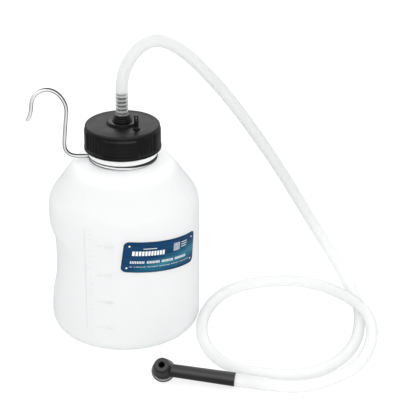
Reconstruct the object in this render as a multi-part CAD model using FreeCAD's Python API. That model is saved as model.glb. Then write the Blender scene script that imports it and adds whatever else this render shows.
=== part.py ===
import FreeCAD, Part
import math
import os

# Fluid catch bottle: two-litre bottle, ribbed screw cap with a barbed fitting,
# wire clip with a hook round the neck, soft hose and a rubber right-angle adaptor.
# Millimetres, +Z up, origin at the centre of the base.  -Y is the front (label),
# +X is where the hose lies coiled.  Outlines are (radius, z[, corner radius]).

Vec = FreeCAD.Vector
ORIGIN, UP = Vec(0, 0, 0), Vec(0, 0, 1)
os.makedirs("parts", exist_ok=True)


# ---------------------------------------------------------------------------
# helpers
# ---------------------------------------------------------------------------
def outline(points):
    """Closed face in the XZ plane from (radius, z[, corner radius])."""
    corners = [Vec(point[0], 0, point[1]) for point in points]
    rounds = [point[2] if len(point) > 2 else 0.0 for point in points]
    count = len(points)
    ends = []
    for i in range(count):
        corner, radius = corners[i], rounds[i]
        if radius <= 0:
            ends.append((corner, corner, None))
            continue
        back = (corners[i - 1] - corner).normalize()
        ahead = (corners[(i + 1) % count] - corner).normalize()
        half = back.getAngle(ahead) / 2.0
        trim = radius / math.tan(half)
        bisector = (back + ahead).normalize()
        centre = corner + bisector * (radius / math.sin(half))
        ends.append((corner + back * trim, corner + ahead * trim, centre - bisector * radius))
    edges = []
    for i in range(count):
        first, last, middle = ends[i]
        if middle is not None:
            edges.append(Part.Arc(first, middle, last).toShape())
        following = ends[(i + 1) % count][0]
        if (following - last).Length > 1e-6:
            edges.append(Part.makeLine(last, following))
    return Part.Face(Part.Wire(edges))


def turned(points):
    """Solid of revolution about Z."""
    return outline(points).revolve(ORIGIN, UP, 360)


def ring(inner_r, outer_r, z0, z1):
    return Part.makeCylinder(outer_r, z1 - z0, Vec(0, 0, z0)).cut(
        Part.makeCylinder(inner_r, z1 - z0 + 2, Vec(0, 0, z0 - 1)))


def hex_nut(corner_r, z0, z1, bore_r):
    corners = [Vec(corner_r * math.cos(math.pi * k / 3), corner_r * math.sin(math.pi * k / 3), z0)
               for k in range(7)]
    nut = Part.Face(Part.makePolygon(corners)).extrude(Vec(0, 0, z1 - z0))
    return nut.cut(Part.makeCylinder(bore_r, z1 - z0 + 6, Vec(0, 0, z0 - 3)))


def barbs(root_r, crest_r, z0, pitch, count):
    """Outline points of a row of barbs that taper towards +Z."""
    points = []
    for i in range(count):
        z = z0 + i * pitch
        points += [(root_r, z), (crest_r, z + 0.15), (root_r, z + pitch - 0.5)]
    return points


def on_axis(shape, origin, axis):
    """Copy of a shape built along Z, moved so that Z becomes axis at origin."""
    z = Vec(axis).normalize()
    x = Vec(1, 0, 0) if abs(z.x) < 0.9 else Vec(0, 1, 0)
    x = (x - z * x.dot(z)).normalize()
    y = z.cross(x)
    matrix = FreeCAD.Matrix(x.x, y.x, z.x, origin.x,
                            x.y, y.y, z.y, origin.y,
                            x.z, y.z, z.z, origin.z,
                            0, 0, 0, 1)
    moved = shape.copy()
    moved.Placement = FreeCAD.Placement(matrix).multiply(moved.Placement)
    return moved


def arc_to(start, tangent, end):
    """The circular arc that leaves start along tangent, as (centre, axis, degrees)."""
    chord = end - start
    normal = tangent.cross(chord)
    normal.normalize()
    side = normal.cross(tangent)
    rise = chord.dot(side)
    return (start + side * (chord.dot(chord) / (2.0 * rise)), normal,
            math.degrees(2.0 * math.atan2(rise, chord.dot(tangent))))


def arc_pair(start, start_dir, end, end_dir):
    """Two arcs with a common tangent, matching the direction at both ends."""
    span, total = end - start, start_dir + end_dir
    bend = 2.0 * (1.0 - start_dir.dot(end_dir))
    if bend > 1e-7:
        reach = (math.sqrt(span.dot(total) ** 2 + bend * span.dot(span))
                 - span.dot(total)) / bend
    else:
        reach = span.dot(span) / (4.0 * span.dot(end_dir))
    near, far = start + start_dir * reach, end - end_dir * reach
    joint = (near + far) * 0.5
    return [arc_to(start, start_dir, joint), arc_to(joint, (far - near).normalize(), end)]


def arc_chain(curve, points):
    """Arcs through the points, tangent to the curve at each of them."""
    tangents = [curve.tangent(curve.parameter(point))[0] for point in points]
    chain = []
    for i in range(len(points) - 1):
        chain += arc_pair(points[i], tangents[i], points[i + 1], tangents[i + 1])
    return chain


def tube_skin(chain, start, direction, radius):
    """Round skin along a chain of arcs, and the rim at each end."""
    rim = Part.Wire(Part.makeCircle(radius, start, direction))
    first, faces = rim.copy(), []
    for centre, axis, degrees in chain:
        faces += rim.revolve(centre, axis, degrees).Faces
        rim = rim.copy()
        rim.rotate(centre, axis, degrees)
    return faces, first, rim


def sewn(faces):
    shape = Part.makeCompound(faces)
    shape.sewShape(1e-3)
    shape = Part.Solid(shape.Shells[0])
    if shape.Volume < 0:
        shape.reverse()
    return shape


def wire_rod(chain, start, direction, radius):
    """Solid round wire along a chain of arcs."""
    faces, first, last = tube_skin(chain, start, direction, radius)
    return sewn(faces + [Part.Face(first), Part.Face(last)])


def one(shape, tidy=True):
    """The single solid of a boolean result."""
    solids = (shape.removeSplitter() if tidy else shape).Solids
    if len(solids) != 1:
        raise ValueError("expected one solid, got %d" % len(solids))
    return solids[0]


def save(name, shape):
    if not shape.isValid():
        raise ValueError(name + " is not valid")
    shape.exportStep("parts/%s.step" % name)


# ---------------------------------------------------------------------------
# screw thread between bottle and cap
# ---------------------------------------------------------------------------
PITCH = 4.0
THREAD_ROOT_HALF, THREAD_CREST_HALF = 1.0, 0.55   # half heights of the ridge
THREAD_SINK = 0.3           # how far the ridge is sunk into its wall
THREAD_Z0 = 171.6           # centre of the bottle thread at its start
THREAD_TURNS, THREAD_CREST_R = 1.75, 29.6
CAP_THREAD_TURNS, CAP_THREAD_CREST_R = 1.2, 28.8
CAP_THREAD_Z0 = THREAD_Z0 - 1.50


def thread(root_r, crest_r, z0, turns):
    helix = Part.makeHelix(PITCH, PITCH * turns, min(root_r, crest_r))
    section = Part.makePolygon([Vec(root_r, 0, -THREAD_ROOT_HALF),
                                Vec(crest_r, 0, -THREAD_CREST_HALF),
                                Vec(crest_r, 0, THREAD_CREST_HALF),
                                Vec(root_r, 0, THREAD_ROOT_HALF),
                                Vec(root_r, 0, -THREAD_ROOT_HALF)])
    ridge = Part.Wire(helix.Edges).makePipeShell([section], True, True)
    ridge = Part.Solid(ridge) if ridge.ShapeType != "Solid" else ridge
    if ridge.Volume < 0:
        ridge.reverse()
    ridge.translate(Vec(0, 0, z0))
    return ridge


# ---------------------------------------------------------------------------
# bottle
# ---------------------------------------------------------------------------
BODY_R = 65.0
WALL = 2.0
BASE_FILLET = 14.4
DISH_R, DISH_Z = 41.0, 3.0  # raised middle of the base
FOOT_R = 46.5               # inner edge of the standing ring
DISH_INSET = 0.6            # the inside of the dish is this much smaller
SHOULDER_Z = 123.9          # where the cone of the shoulder would meet the body
SHOULDER_TOP_R, SHOULDER_TOP_Z = 42.3, 156.0
INNER_SHOULDER_Z = 123.26
INNER_SHOULDER_TOP_R, INNER_SHOULDER_TOP_Z = 41.14, 154.17
GROOVE_R = 26.4             # neck groove that carries the wire clip
GROOVE_Z0, GROOVE_Z1 = 158.2, 162.2
BEAD_R, BEAD_Z1 = 29.6, 166.6   # bead above the groove
FINISH_R, FINISH_TOP = 28.3, 186.4   # threaded finish, outside wall
BORE_R, BORE_Z0 = 24.6, 156.84  # mouth of the bottle

# grip scoop on the left of the body: a ring cutter about a shifted axis
SCOOP_DIR = math.radians(160.0)
SCOOP_SHIFT = 7.53
SCOOP_OUTER_R = 110
# radius from the shifted axis, z
SCOOP_PROFILE = [
    (73.6, 14.0), (72.7, 19.0), (70.8, 34.0), (68.4, 46.0), (66.9, 59.0), (66.8, 74.0),
    (67.3, 88.0), (68.4, 94.0), (70.8, 99.0), (72.6, 104.0), (73.8, 108.0)]


def scoop_cutter(inset):
    """Ring that shaves the grip recess; inset moves its inner face inwards."""
    inner_face = [Vec(radius - inset, 0, z) for radius, z in SCOOP_PROFILE]
    curve = Part.BSplineCurve()
    curve.interpolate(inner_face)
    bottom, top = inner_face[0], inner_face[-1]
    outer_top, outer_bottom = Vec(SCOOP_OUTER_R, 0, top.z), Vec(SCOOP_OUTER_R, 0, bottom.z)
    edges = [curve.toShape(),
             Part.makeLine(top, outer_top),
             Part.makeLine(outer_top, outer_bottom),
             Part.makeLine(outer_bottom, bottom)]
    cutter = Part.Face(Part.Wire(edges)).revolve(ORIGIN, UP, 360)
    cutter.translate(Vec(-SCOOP_SHIFT * math.cos(SCOOP_DIR),
                         -SCOOP_SHIFT * math.sin(SCOOP_DIR), 0))
    return cutter


def make_bottle():
    outer = turned([(0, DISH_Z), (DISH_R, DISH_Z, 5.0), (FOOT_R, 0.0, 2.5),
                    (BODY_R, 0.0, BASE_FILLET), (BODY_R, SHOULDER_Z, 24.0),
                    (SHOULDER_TOP_R, SHOULDER_TOP_Z, 8.0),
                    (GROOVE_R, GROOVE_Z0, 0.9), (GROOVE_R, GROOVE_Z1, 0.4),
                    (BEAD_R, GROOVE_Z1, 1.0), (BEAD_R, BEAD_Z1, 1.0),
                    (FINISH_R, BEAD_Z1 + 0.6, 0.6), (FINISH_R, FINISH_TOP, 0.8),
                    (0, FINISH_TOP)])
    inner = turned([(0, DISH_Z + WALL), (DISH_R - DISH_INSET, DISH_Z + WALL, 5.0),
                    (FOOT_R - DISH_INSET, WALL, 2.5),
                    (BODY_R - WALL, WALL, BASE_FILLET - WALL),
                    (BODY_R - WALL, INNER_SHOULDER_Z, 22.0),
                    (INNER_SHOULDER_TOP_R, INNER_SHOULDER_TOP_Z, 6.0),
                    (BORE_R, BORE_Z0, 3.0), (BORE_R, FINISH_TOP + 5), (0, FINISH_TOP + 5)])
    outer = outer.cut(scoop_cutter(0.0))
    inner = inner.cut(scoop_cutter(WALL))
    bottle = one(outer.cut(inner))
    return one(bottle.fuse(thread(FINISH_R - THREAD_SINK, THREAD_CREST_R,
                                  THREAD_Z0, THREAD_TURNS)))


save("bottle", make_bottle())

# ---------------------------------------------------------------------------
# label wrapped round the front of the body, towards the right
# ---------------------------------------------------------------------------
LABEL_T = 0.15
LABEL_AZIMUTH = 270.0 + 33.5   # degrees from +X
LABEL_W, LABEL_H, LABEL_Z = 71.0, 28.2, 91.5
LABEL_TILT = 6.8
LABEL_CORNER = 4.0


def make_label():
    band = ring(BODY_R, BODY_R + LABEL_T, 40, 118)
    plate = Part.makeBox(LABEL_W, 40, LABEL_H, Vec(-LABEL_W / 2, 40, -LABEL_H / 2))
    plate = plate.makeFillet(LABEL_CORNER, [edge for edge in plate.Edges
                                            if abs(edge.tangentAt(edge.FirstParameter).y) > 0.99])
    plate.rotate(ORIGIN, Vec(0, 1, 0), -LABEL_TILT)
    plate.rotate(ORIGIN, UP, LABEL_AZIMUTH - 90)
    plate.translate(Vec(0, 0, LABEL_Z))
    return one(band.common(plate))


save("label", make_label())

# ---------------------------------------------------------------------------
# wire clip round the neck with its hook on the left
# ---------------------------------------------------------------------------
WIRE_R = 1.6
RING_R, RING_Z = 28.2, 160.0
ARM_Y = -1.0
BEND_R = 4.0                # bend between the arm and the ring
RING_FREE_END = math.radians(165.0 + 360.0)
RING_ARCS = 4
# x, z of the wire centreline in the plane y = ARM_Y, from the free tip to the arm
HOOK_POINTS = [
    (-80.4, 192.4), (-77.7, 198.6), (-76.6, 204.6), (-75.2, 211.8), (-70.1, 217.9),
    (-62.8, 220.4), (-56.0, 218.4), (-50.6, 213.0), (-47.2, 204.4), (-47.8, 193.0),
    (-48.9, 181.6), (-49.7, 171.4), (-48.6, 165.2), (-44.6, 161.3), (-39.4, 160.15)]


def make_neck_hook():
    # the bend meets the ring just in front of -X
    junction = math.pi - math.asin((ARM_Y - BEND_R) / (RING_R + BEND_R))
    outward = Vec(math.cos(junction), math.sin(junction), 0)
    centre = outward * (RING_R + BEND_R) + Vec(0, 0, RING_Z)
    arm_end = centre + Vec(0, BEND_R, 0)
    ring_start = outward * RING_R + Vec(0, 0, RING_Z)
    middle_dir = ((arm_end - centre).normalize() + (ring_start - centre).normalize()).normalize()
    middle = centre + middle_dir * BEND_R

    points = [Vec(x, ARM_Y, z) for x, z in HOOK_POINTS] + [arm_end]
    curve = Part.BSplineCurve()
    curve.interpolate(Points=points, InitialTangent=Vec(0.5, 0, 0.866),
                      FinalTangent=Vec(1, 0, 0), Scale=False)
    chain = arc_chain(curve, points)
    chain += [arc_to(arm_end, Vec(1, 0, 0), middle),
              arc_to(middle, Vec(middle_dir.y, -middle_dir.x, 0), ring_start)]
    sweep = math.degrees((RING_FREE_END - junction) / RING_ARCS)
    chain += [(Vec(0, 0, RING_Z), UP, sweep)] * RING_ARCS
    return wire_rod(chain, points[0], curve.tangent(curve.FirstParameter)[0], WIRE_R)


save("neck_hook", make_neck_hook())

# ---------------------------------------------------------------------------
# screw cap
# ---------------------------------------------------------------------------
CAP_R = 32.0
CAP_BAND_R = 33.0
CAP_Z0, CAP_Z1 = 167.9, 190.4
LID_Z = CAP_Z1 - 2.6        # underside of the crown
CAP_BORE_R = 30.1
CAP_HOLE_R = 6.16
CAP_EDGE_R = 1.8            # round between the crown and the skirt
CROWN_FLAT_R, CROWN_DROP = 25.0, 1.1   # the crown slopes down outside this radius
PANELS, PANEL_ANGLE = 4, -92.4   # smooth raised grips, and the middle of the first
PANEL_HALF = 27.0           # degrees
PANEL_R, PANEL_Z0, PANEL_TOP_Z = 32.7, CAP_Z0 + 1.0, 185.6
RIBS, RIB_STEP = 5, 7.2     # flutes between each two grips, degrees apart
FLUTE_R, FLUTE_CENTRE_R = 1.5, 32.75
FLUTE_Z0, FLUTE_H = 171.7, 15.2
LINER_R0, LINER_R1 = 23.6, 29.2
VENT_X, VENT_Y, VENT_R = 12.5, -14.4, 1.85


def make_cap():
    cap = turned([(CAP_HOLE_R, LID_Z), (CAP_HOLE_R, CAP_Z1, 0.3), (CROWN_FLAT_R, CAP_Z1),
                  (CAP_R, CAP_Z1 - CROWN_DROP, CAP_EDGE_R),
                  (CAP_R, 171.1, 0.4), (CAP_BAND_R, 170.6, 0.4), (CAP_BAND_R, CAP_Z0, 0.6),
                  (CAP_BORE_R, CAP_Z0, 0.4), (CAP_BORE_R, LID_Z, 0.8)])
    cap = cap.fuse(thread(CAP_BORE_R + THREAD_SINK, CAP_THREAD_CREST_R,
                          CAP_THREAD_Z0, CAP_THREAD_TURNS))
    flutes, grips = [], []
    for k in range(PANELS):
        middle = PANEL_ANGLE + 360.0 * k / PANELS
        grip = Part.makeCylinder(PANEL_R, PANEL_TOP_Z - PANEL_Z0, Vec(0, 0, PANEL_Z0),
                                 UP, 2 * PANEL_HALF)
        grip.rotate(ORIGIN, UP, middle - PANEL_HALF)
        grips.append(grip.cut(Part.makeCylinder(CAP_R - 0.8, 30, Vec(0, 0, CAP_Z0 - 5))))
        for i in range(RIBS):
            angle = math.radians(middle + 180.0 / PANELS + (i - (RIBS - 1) / 2.0) * RIB_STEP)
            foot = Vec(FLUTE_CENTRE_R * math.cos(angle), FLUTE_CENTRE_R * math.sin(angle),
                       FLUTE_Z0)
            flutes.append(Part.makeCylinder(FLUTE_R, FLUTE_H, foot))
    cap = cap.fuse(grips)
    cap = cap.cut(flutes)
    cap = cap.cut(Part.makeCylinder(VENT_R + 0.06, 10, Vec(VENT_X, VENT_Y, LID_Z - 4)))
    return one(cap, tidy=False)


save("cap_shell", make_cap())
save("cap_liner", ring(LINER_R0, LINER_R1, FINISH_TOP, LID_Z))

# ---------------------------------------------------------------------------
# fitting through the middle of the cap, with its one-way valve
# ---------------------------------------------------------------------------
SHANK_R = 6.10
SEAL_R = 13.6
FLANGE_R, FLANGE_Z0 = 12.4, CAP_Z1 + 0.8   # the flange stands on the seal
FLANGE_Z1 = FLANGE_Z0 + 1.1
COLLARS = [(8.6, 194.0), (7.9, 195.5), (7.2, 197.0)]   # radius and top of each step
NECK_R, NECK_Z = 6.5, 198.3 # last step, below the barbs
BARB_ROOT_R, BARB_CREST_R = 3.2, 4.1
BARB_PITCH, BARB_COUNT = 3.4, 5
BARB_Z0 = NECK_Z + 0.6
FIT_BORE_R = 2.0
FIT_BOTTOM_Z = 169.6
CHAMBER_R = 3.6
SEAT_Z = 181.0
WASHER_R, WASHER_Z = 10.0, LID_Z - 1.0   # outer radius and underside of the washer
NUT_R, NUT_H, NUT_EDGE = 11, 5.0, 0.8
BALL_R, BALL_Z = 3.0, 178.74
SPRING_R, SPRING_WIRE = 2.3, 0.28
SPRING_TURNS, ARCS_PER_TURN = 4, 10
RETAINER_R, RETAINER_TOP_Z = CHAMBER_R - 0.02, 172.0
RIM_R, RIM_Z = 5.6, 168.6   # rim of the retainer below the fitting
DIP_R0, DIP_R1 = 2.74, 4.1
DIP_END_Z, DIP_TOP_Z = 98.0, 168.5


def make_fitting():
    points = [(FIT_BORE_R, SEAT_Z), (CHAMBER_R, SEAT_Z - (CHAMBER_R - FIT_BORE_R)),
              (CHAMBER_R, FIT_BOTTOM_Z), (SHANK_R, FIT_BOTTOM_Z, 0.4), (SHANK_R, FLANGE_Z0),
              (FLANGE_R, FLANGE_Z0, 0.3), (FLANGE_R, FLANGE_Z1, 0.6),
              (COLLARS[0][0], FLANGE_Z1 + 0.3)]
    next_radii = [radius for radius, top in COLLARS[1:]] + [NECK_R]
    for (radius, top), next_r in zip(COLLARS, next_radii):
        points += [(radius, top, 0.45), (next_r, top + 0.15)]
    points += [(NECK_R, NECK_Z, 0.5), (BARB_ROOT_R, NECK_Z)]
    points += barbs(BARB_ROOT_R, BARB_CREST_R, BARB_Z0, BARB_PITCH, BARB_COUNT)
    tip_z = BARB_Z0 + BARB_COUNT * BARB_PITCH
    points += [(BARB_ROOT_R - 0.2, tip_z), (FIT_BORE_R, tip_z)]
    return one(turned(points))


def make_lock_nut():
    z0, z1 = WASHER_Z - NUT_H, WASHER_Z
    nut = hex_nut(NUT_R, z0, z1, SHANK_R + 0.02)
    bevel_r, full_r = NUT_R - 0.8, NUT_R + 0.2
    return one(nut.common(turned([(0, z0), (bevel_r, z0), (full_r, z0 + NUT_EDGE),
                                  (full_r, z1 - NUT_EDGE), (bevel_r, z1), (0, z1)])))


def make_retainer():
    """Tube closing the valve chamber, with a spigot for the dip tube."""
    return one(turned([(1.5, RETAINER_TOP_Z), (1.5, 158.0), (2.3, 158.0, 0.2), (2.7, 159.6),
                       (2.7, RIM_Z), (RIM_R, RIM_Z, 0.3), (RIM_R, FIT_BOTTOM_Z),
                       (RETAINER_R, FIT_BOTTOM_Z), (RETAINER_R, RETAINER_TOP_Z)]))


def make_spring():
    """Coil from the top of the retainer to the underside of the ball."""
    bottom = RETAINER_TOP_Z + SPRING_WIRE + 0.05
    top = BALL_Z - math.sqrt((BALL_R + SPRING_WIRE + 0.03) ** 2 - SPRING_R ** 2)
    rise = (top - bottom) / (SPRING_TURNS * 2.0 * math.pi)

    def on_helix(k):
        angle = 2.0 * math.pi * k / ARCS_PER_TURN
        x, y = SPRING_R * math.cos(angle), SPRING_R * math.sin(angle)
        return Vec(x, y, bottom + rise * angle), Vec(-y, x, rise).normalize()

    chain = []
    for k in range(SPRING_TURNS * ARCS_PER_TURN):
        chain += arc_pair(*on_helix(k), *on_helix(k + 1))
    return wire_rod(chain, *on_helix(0), SPRING_WIRE)


def make_dip_tube():
    """Tube hanging in the bottle, its lower end bevelled."""
    return one(turned([(DIP_R0, DIP_TOP_Z), (DIP_R0, DIP_END_Z + 1.2), (DIP_R0, DIP_END_Z),
                       (DIP_R1, DIP_END_Z + 3.0), (DIP_R1, DIP_TOP_Z)]))


save("barb_fitting", make_fitting())
save("fitting_seal", ring(SHANK_R + 0.1, SEAL_R, CAP_Z1, FLANGE_Z0))
save("nut_washer", ring(SHANK_R + 0.1, WASHER_R, WASHER_Z, LID_Z))
save("lock_nut", make_lock_nut())
save("valve_retainer", make_retainer())
save("valve_ball", Part.makeSphere(BALL_R, Vec(0, 0, BALL_Z)))
save("valve_spring", make_spring())
save("dip_tube", make_dip_tube())

# ---------------------------------------------------------------------------
# vent nipple with its seal and nut under the lid
# ---------------------------------------------------------------------------
VENT_TOP_Z = 202.9
VENT_BOTTOM_Z = LID_Z - 4.4
VENT_BORE_R, VENT_BORE_TOP = 0.75, 199.4
VENT_HEAD_R, VENT_RIB_R = 3.05, 2.05
SLOT_W, SLOT_H, SLOT_Z = 1.15, 3.0, 199.0   # slot through the nipple along Y
VENT_SEAL_R = 3.5
VENT_NUT_R, VENT_NUT_H = 3.7, 2.6


def at_vent(shape):
    shape.translate(Vec(VENT_X, VENT_Y, 0))
    return shape


def make_nipple():
    nipple = turned([(VENT_BORE_R, VENT_BOTTOM_Z), (VENT_R, VENT_BOTTOM_Z, 0.3),
                     (VENT_R, CAP_Z1), (VENT_HEAD_R, CAP_Z1), (VENT_HEAD_R, CAP_Z1 + 1.3, 0.5),
                     (2.0, CAP_Z1 + 1.7), (VENT_R, CAP_Z1 + 2.0), (VENT_R, 196.6),
                     (VENT_RIB_R, 196.8), (VENT_RIB_R, 198.0), (VENT_R, 198.2),
                     (VENT_R, VENT_TOP_Z, 0.7), (0.0, VENT_TOP_Z), (0.0, VENT_BORE_TOP),
                     (VENT_BORE_R, VENT_BORE_TOP)])
    nipple = nipple.cut(Part.makeBox(SLOT_W, 8, SLOT_H, Vec(-SLOT_W / 2, -4, SLOT_Z)))
    return one(at_vent(nipple))


save("vent_nipple", make_nipple())
save("vent_seal", at_vent(ring(VENT_R + 0.05, VENT_SEAL_R, WASHER_Z, LID_Z)))
save("vent_nut", one(at_vent(hex_nut(VENT_NUT_R, WASHER_Z - VENT_NUT_H, WASHER_Z,
                                     VENT_R + 0.02))))

# ---------------------------------------------------------------------------
# rubber adaptor: a stem lying along the ground with a leaning cup at its head
# ---------------------------------------------------------------------------
ADP_HEAD = Vec(35.03, -103.73, 10.15)
ADP_END = Vec(95.14, -115.50, 7.25)
ADP_AXIS = (ADP_END - ADP_HEAD).normalize()
ADP_TILT = math.radians(41.0)   # lean of the cup axis from vertical, towards the front
STEM_LEN = (ADP_END - ADP_HEAD).Length
STEM_R0, STEM_R1 = 5.55, 5.9
STEM_BORE_R, CHANNEL_R = 3.68, 2.0
COUPLER_IN_HOSE, COUPLER_IN_STEM = 27.0, 24.0
# outlines along the cup axis, z from ADP_HEAD
CUP_OUTSIDE = [
    (0, -4.4), (10.2, -4.4, 0.9), (10.2, -2.2, 0.7), (8.5, -2.2, 0.3), (8.2, -0.9, 0.4),
    (7.6, -0.7, 0.2), (7.2, 7.4, 2.0), (6.8, 10.3, 0.6), (6.1, 10.5, 0.2), (5.9, 12.0, 0.7),
    (0, 12.0)]
CUP_INSIDE = [(0, -1.0), (2.3, -1.0), (2.3, 11.2), (2.9, 12.1), (0, 12.1)]


def make_adaptor():
    front = ADP_AXIS.cross(UP).normalize()      # horizontal, towards the front
    lift = front.cross(ADP_AXIS).normalize()
    cup_axis = (lift * math.cos(ADP_TILT) + front * math.sin(ADP_TILT)).normalize()
    socket_z = STEM_LEN - COUPLER_IN_STEM - 0.5
    stem = on_axis(turned([(0, 0), (STEM_R0 + 0.25, 0), (STEM_R0, 9.0),
                           (STEM_R1, STEM_LEN, 0.5), (0, STEM_LEN)]), ADP_HEAD, ADP_AXIS)
    head = on_axis(turned(CUP_OUTSIDE), ADP_HEAD, cup_axis)
    cavity = on_axis(turned(CUP_INSIDE), ADP_HEAD, cup_axis)
    channel = on_axis(turned([(0, 0), (CHANNEL_R, 0), (CHANNEL_R, socket_z - 0.5),
                              (STEM_BORE_R, socket_z), (STEM_BORE_R, STEM_LEN + 1),
                              (0, STEM_LEN + 1)]), ADP_HEAD, ADP_AXIS)
    return one(one(stem.fuse(head)).cut([cavity, channel]))


def make_coupler():
    """Plain spigot in the rubber, barbed end in the hose."""
    bore_r, spigot_r, tip_z = 1.9, STEM_BORE_R - 0.05, COUPLER_IN_HOSE - 1.0
    points = [(bore_r, -COUPLER_IN_STEM), (3.4, -COUPLER_IN_STEM),
              (spigot_r, -COUPLER_IN_STEM + 1.0), (spigot_r, 0.0), (spigot_r, 0.6)]
    points += barbs(root_r=3.3, crest_r=4.05, z0=1.2, pitch=3.5, count=7)
    points += [(3.1, tip_z), (bore_r, tip_z)]
    return on_axis(one(turned(points)), ADP_END, ADP_AXIS)


save("bleeder_adapter", make_adaptor())
save("hose_coupler", make_coupler())

# ---------------------------------------------------------------------------
# hose, flared over the fitting and over the coupler
# ---------------------------------------------------------------------------
HOSE_R, HOSE_BORE_R = 5.0, 3.5
FLARE_R, FLARE_BORE_R = 5.65, 4.14
FLARE_TOP_Z, FLARE_TAPER = 216.0, 3.0
HOSE_START = Vec(0, 0, FLARE_TOP_Z + FLARE_TAPER)
HOSE_END = ADP_END + ADP_AXIS * (COUPLER_IN_HOSE + FLARE_TAPER)
# x, y, z of the centreline between the flares: up and over to the right, down to
# the ground and round the coil; HOSE_END follows the last point
HOSE_NODES = [
    (0.00, 0.00, 219.00), (6.58, 1.76, 244.84), (26.75, 8.12, 260.13), (50.89, 12.84, 249.74),
    (69.32, 18.00, 230.39), (85.06, 25.52, 209.44), (99.02, 34.52, 187.82),
    (112.05, 43.75, 165.71), (124.86, 52.55, 143.31), (137.52, 60.23, 120.42),
    (150.20, 65.90, 96.96), (163.43, 68.24, 73.26), (177.51, 65.14, 50.20),
    (191.55, 54.14, 29.76), (202.99, 35.43, 13.79), (208.84, 10.39, 5.75),
    (207.20, -16.77, 5.42), (202.58, -43.62, 6.11), (192.86, -69.00, 6.52),
    (176.21, -90.46, 5.84), (152.82, -103.82, 5.31), (125.76, -105.25, 6.00),
    (100.07, -96.68, 5.49), (80.64, -77.94, 5.35), (69.40, -53.50, 8.37),
    (67.90, -27.30, 11.89), (73.60, -1.10, 12.20), (83.80, 24.00, 10.20),
    (99.55, 45.72, 7.62), (122.29, 60.25, 5.44), (149.09, 63.28, 5.48),
    (173.77, 52.55, 7.15), (191.25, 32.06, 10.30), (203.22, 7.92, 14.37),
    (211.99, -17.74, 16.59), (215.02, -44.70, 14.88), (210.07, -71.19, 11.42),
    (197.73, -95.20, 8.91), (177.34, -113.02, 7.22), (151.79, -122.60, 5.40)]


def flare(z0, z1):
    end_z = z1 + FLARE_TAPER
    return turned([(FLARE_BORE_R, z0), (FLARE_R, z0, 0.3), (FLARE_R, z1),
                   (HOSE_R, end_z), (HOSE_BORE_R, end_z), (FLARE_BORE_R, z1)])


def open_end(shape, centre):
    """Faces of a flare without the flat one that meets the tube."""
    return [face for face in shape.Faces
            if not (face.Surface.TypeId == "Part::GeomPlane"
                    and (face.CenterOfMass - centre).Length < 0.3)]


def make_hose():
    nodes = [Vec(*node) for node in HOSE_NODES] + [HOSE_END]
    curve = Part.BSplineCurve()
    curve.interpolate(Points=nodes, InitialTangent=UP, FinalTangent=ADP_AXIS * -1.0,
                      Scale=False)
    chain = arc_chain(curve, nodes)
    skin = open_end(flare(NECK_Z, FLARE_TOP_Z), HOSE_START)
    skin += open_end(on_axis(flare(0.05, COUPLER_IN_HOSE), ADP_END, ADP_AXIS), HOSE_END)
    for radius in (HOSE_R, HOSE_BORE_R):
        skin += tube_skin(chain, HOSE_START, UP, radius)[0]
    return sewn(skin)


save("hose", make_hose())
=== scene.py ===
# A one-litre bottle with a ribbed cap, a wire hook, a clear hose and a rubber elbow adapter.
#
# The bottle stands on z = 0 round the z axis. The camera looks along +y, so the front is -y
# and the right is +x. The hook hangs off the neck at -x. The hose rises from the cap, falls on
# the +x side and coils on the floor, ending at the adapter in front. Sizes are in millimetres
# and become metres in add_mesh; shader and light sizes are in metres.
import math

import bmesh
import bpy
import numpy as np
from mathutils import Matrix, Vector


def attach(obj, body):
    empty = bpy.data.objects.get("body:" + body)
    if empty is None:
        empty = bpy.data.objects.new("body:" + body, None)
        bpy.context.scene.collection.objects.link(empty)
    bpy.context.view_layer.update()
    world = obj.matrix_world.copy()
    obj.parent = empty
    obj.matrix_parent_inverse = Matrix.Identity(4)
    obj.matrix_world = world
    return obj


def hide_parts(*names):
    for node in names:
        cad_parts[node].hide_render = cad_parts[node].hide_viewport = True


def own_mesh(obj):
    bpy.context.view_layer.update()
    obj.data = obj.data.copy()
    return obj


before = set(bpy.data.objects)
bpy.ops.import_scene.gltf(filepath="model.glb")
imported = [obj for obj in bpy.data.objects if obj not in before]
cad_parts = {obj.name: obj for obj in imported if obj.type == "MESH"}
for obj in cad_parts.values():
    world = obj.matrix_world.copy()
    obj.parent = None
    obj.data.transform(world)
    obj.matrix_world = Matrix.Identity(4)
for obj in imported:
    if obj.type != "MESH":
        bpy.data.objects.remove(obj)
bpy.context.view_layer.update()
MM = 0.001
SCENE = bpy.context.scene

# ---------------------------------------------------------------------------
# dimensions shared between pieces
# ---------------------------------------------------------------------------
BODY_R, WALL = 65.0, 2.0
NECK_R, NECK_BORE_R, NECK_TOP_Z = 28.3, 24.6, 186.4
CAP_BORE_R = 30.1
THREAD_PITCH = 4.0
POLE_R = 0.05                     # turned outlines stop this short of their axis
LABEL_W, LABEL_H = 71.0, 28.2

# adapter: its stem runs from the head to the open end, and the cup leans off the stem's normal
ADP_HEAD = np.array([35.03, -103.73, 10.15])
ADP_END = np.array([95.14, -115.50, 7.25])
CUP_TILT = math.radians(41.0)
STEM_LEN = float(np.linalg.norm(ADP_END - ADP_HEAD))
STEM_AXIS = (ADP_END - ADP_HEAD) / STEM_LEN
STEM_SIDE = np.cross(STEM_AXIS, (0, 0, 1.0))
STEM_SIDE /= np.linalg.norm(STEM_SIDE)
CUP_AXIS = np.cross(STEM_SIDE, STEM_AXIS) * math.cos(CUP_TILT) + STEM_SIDE * math.sin(CUP_TILT)


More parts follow.
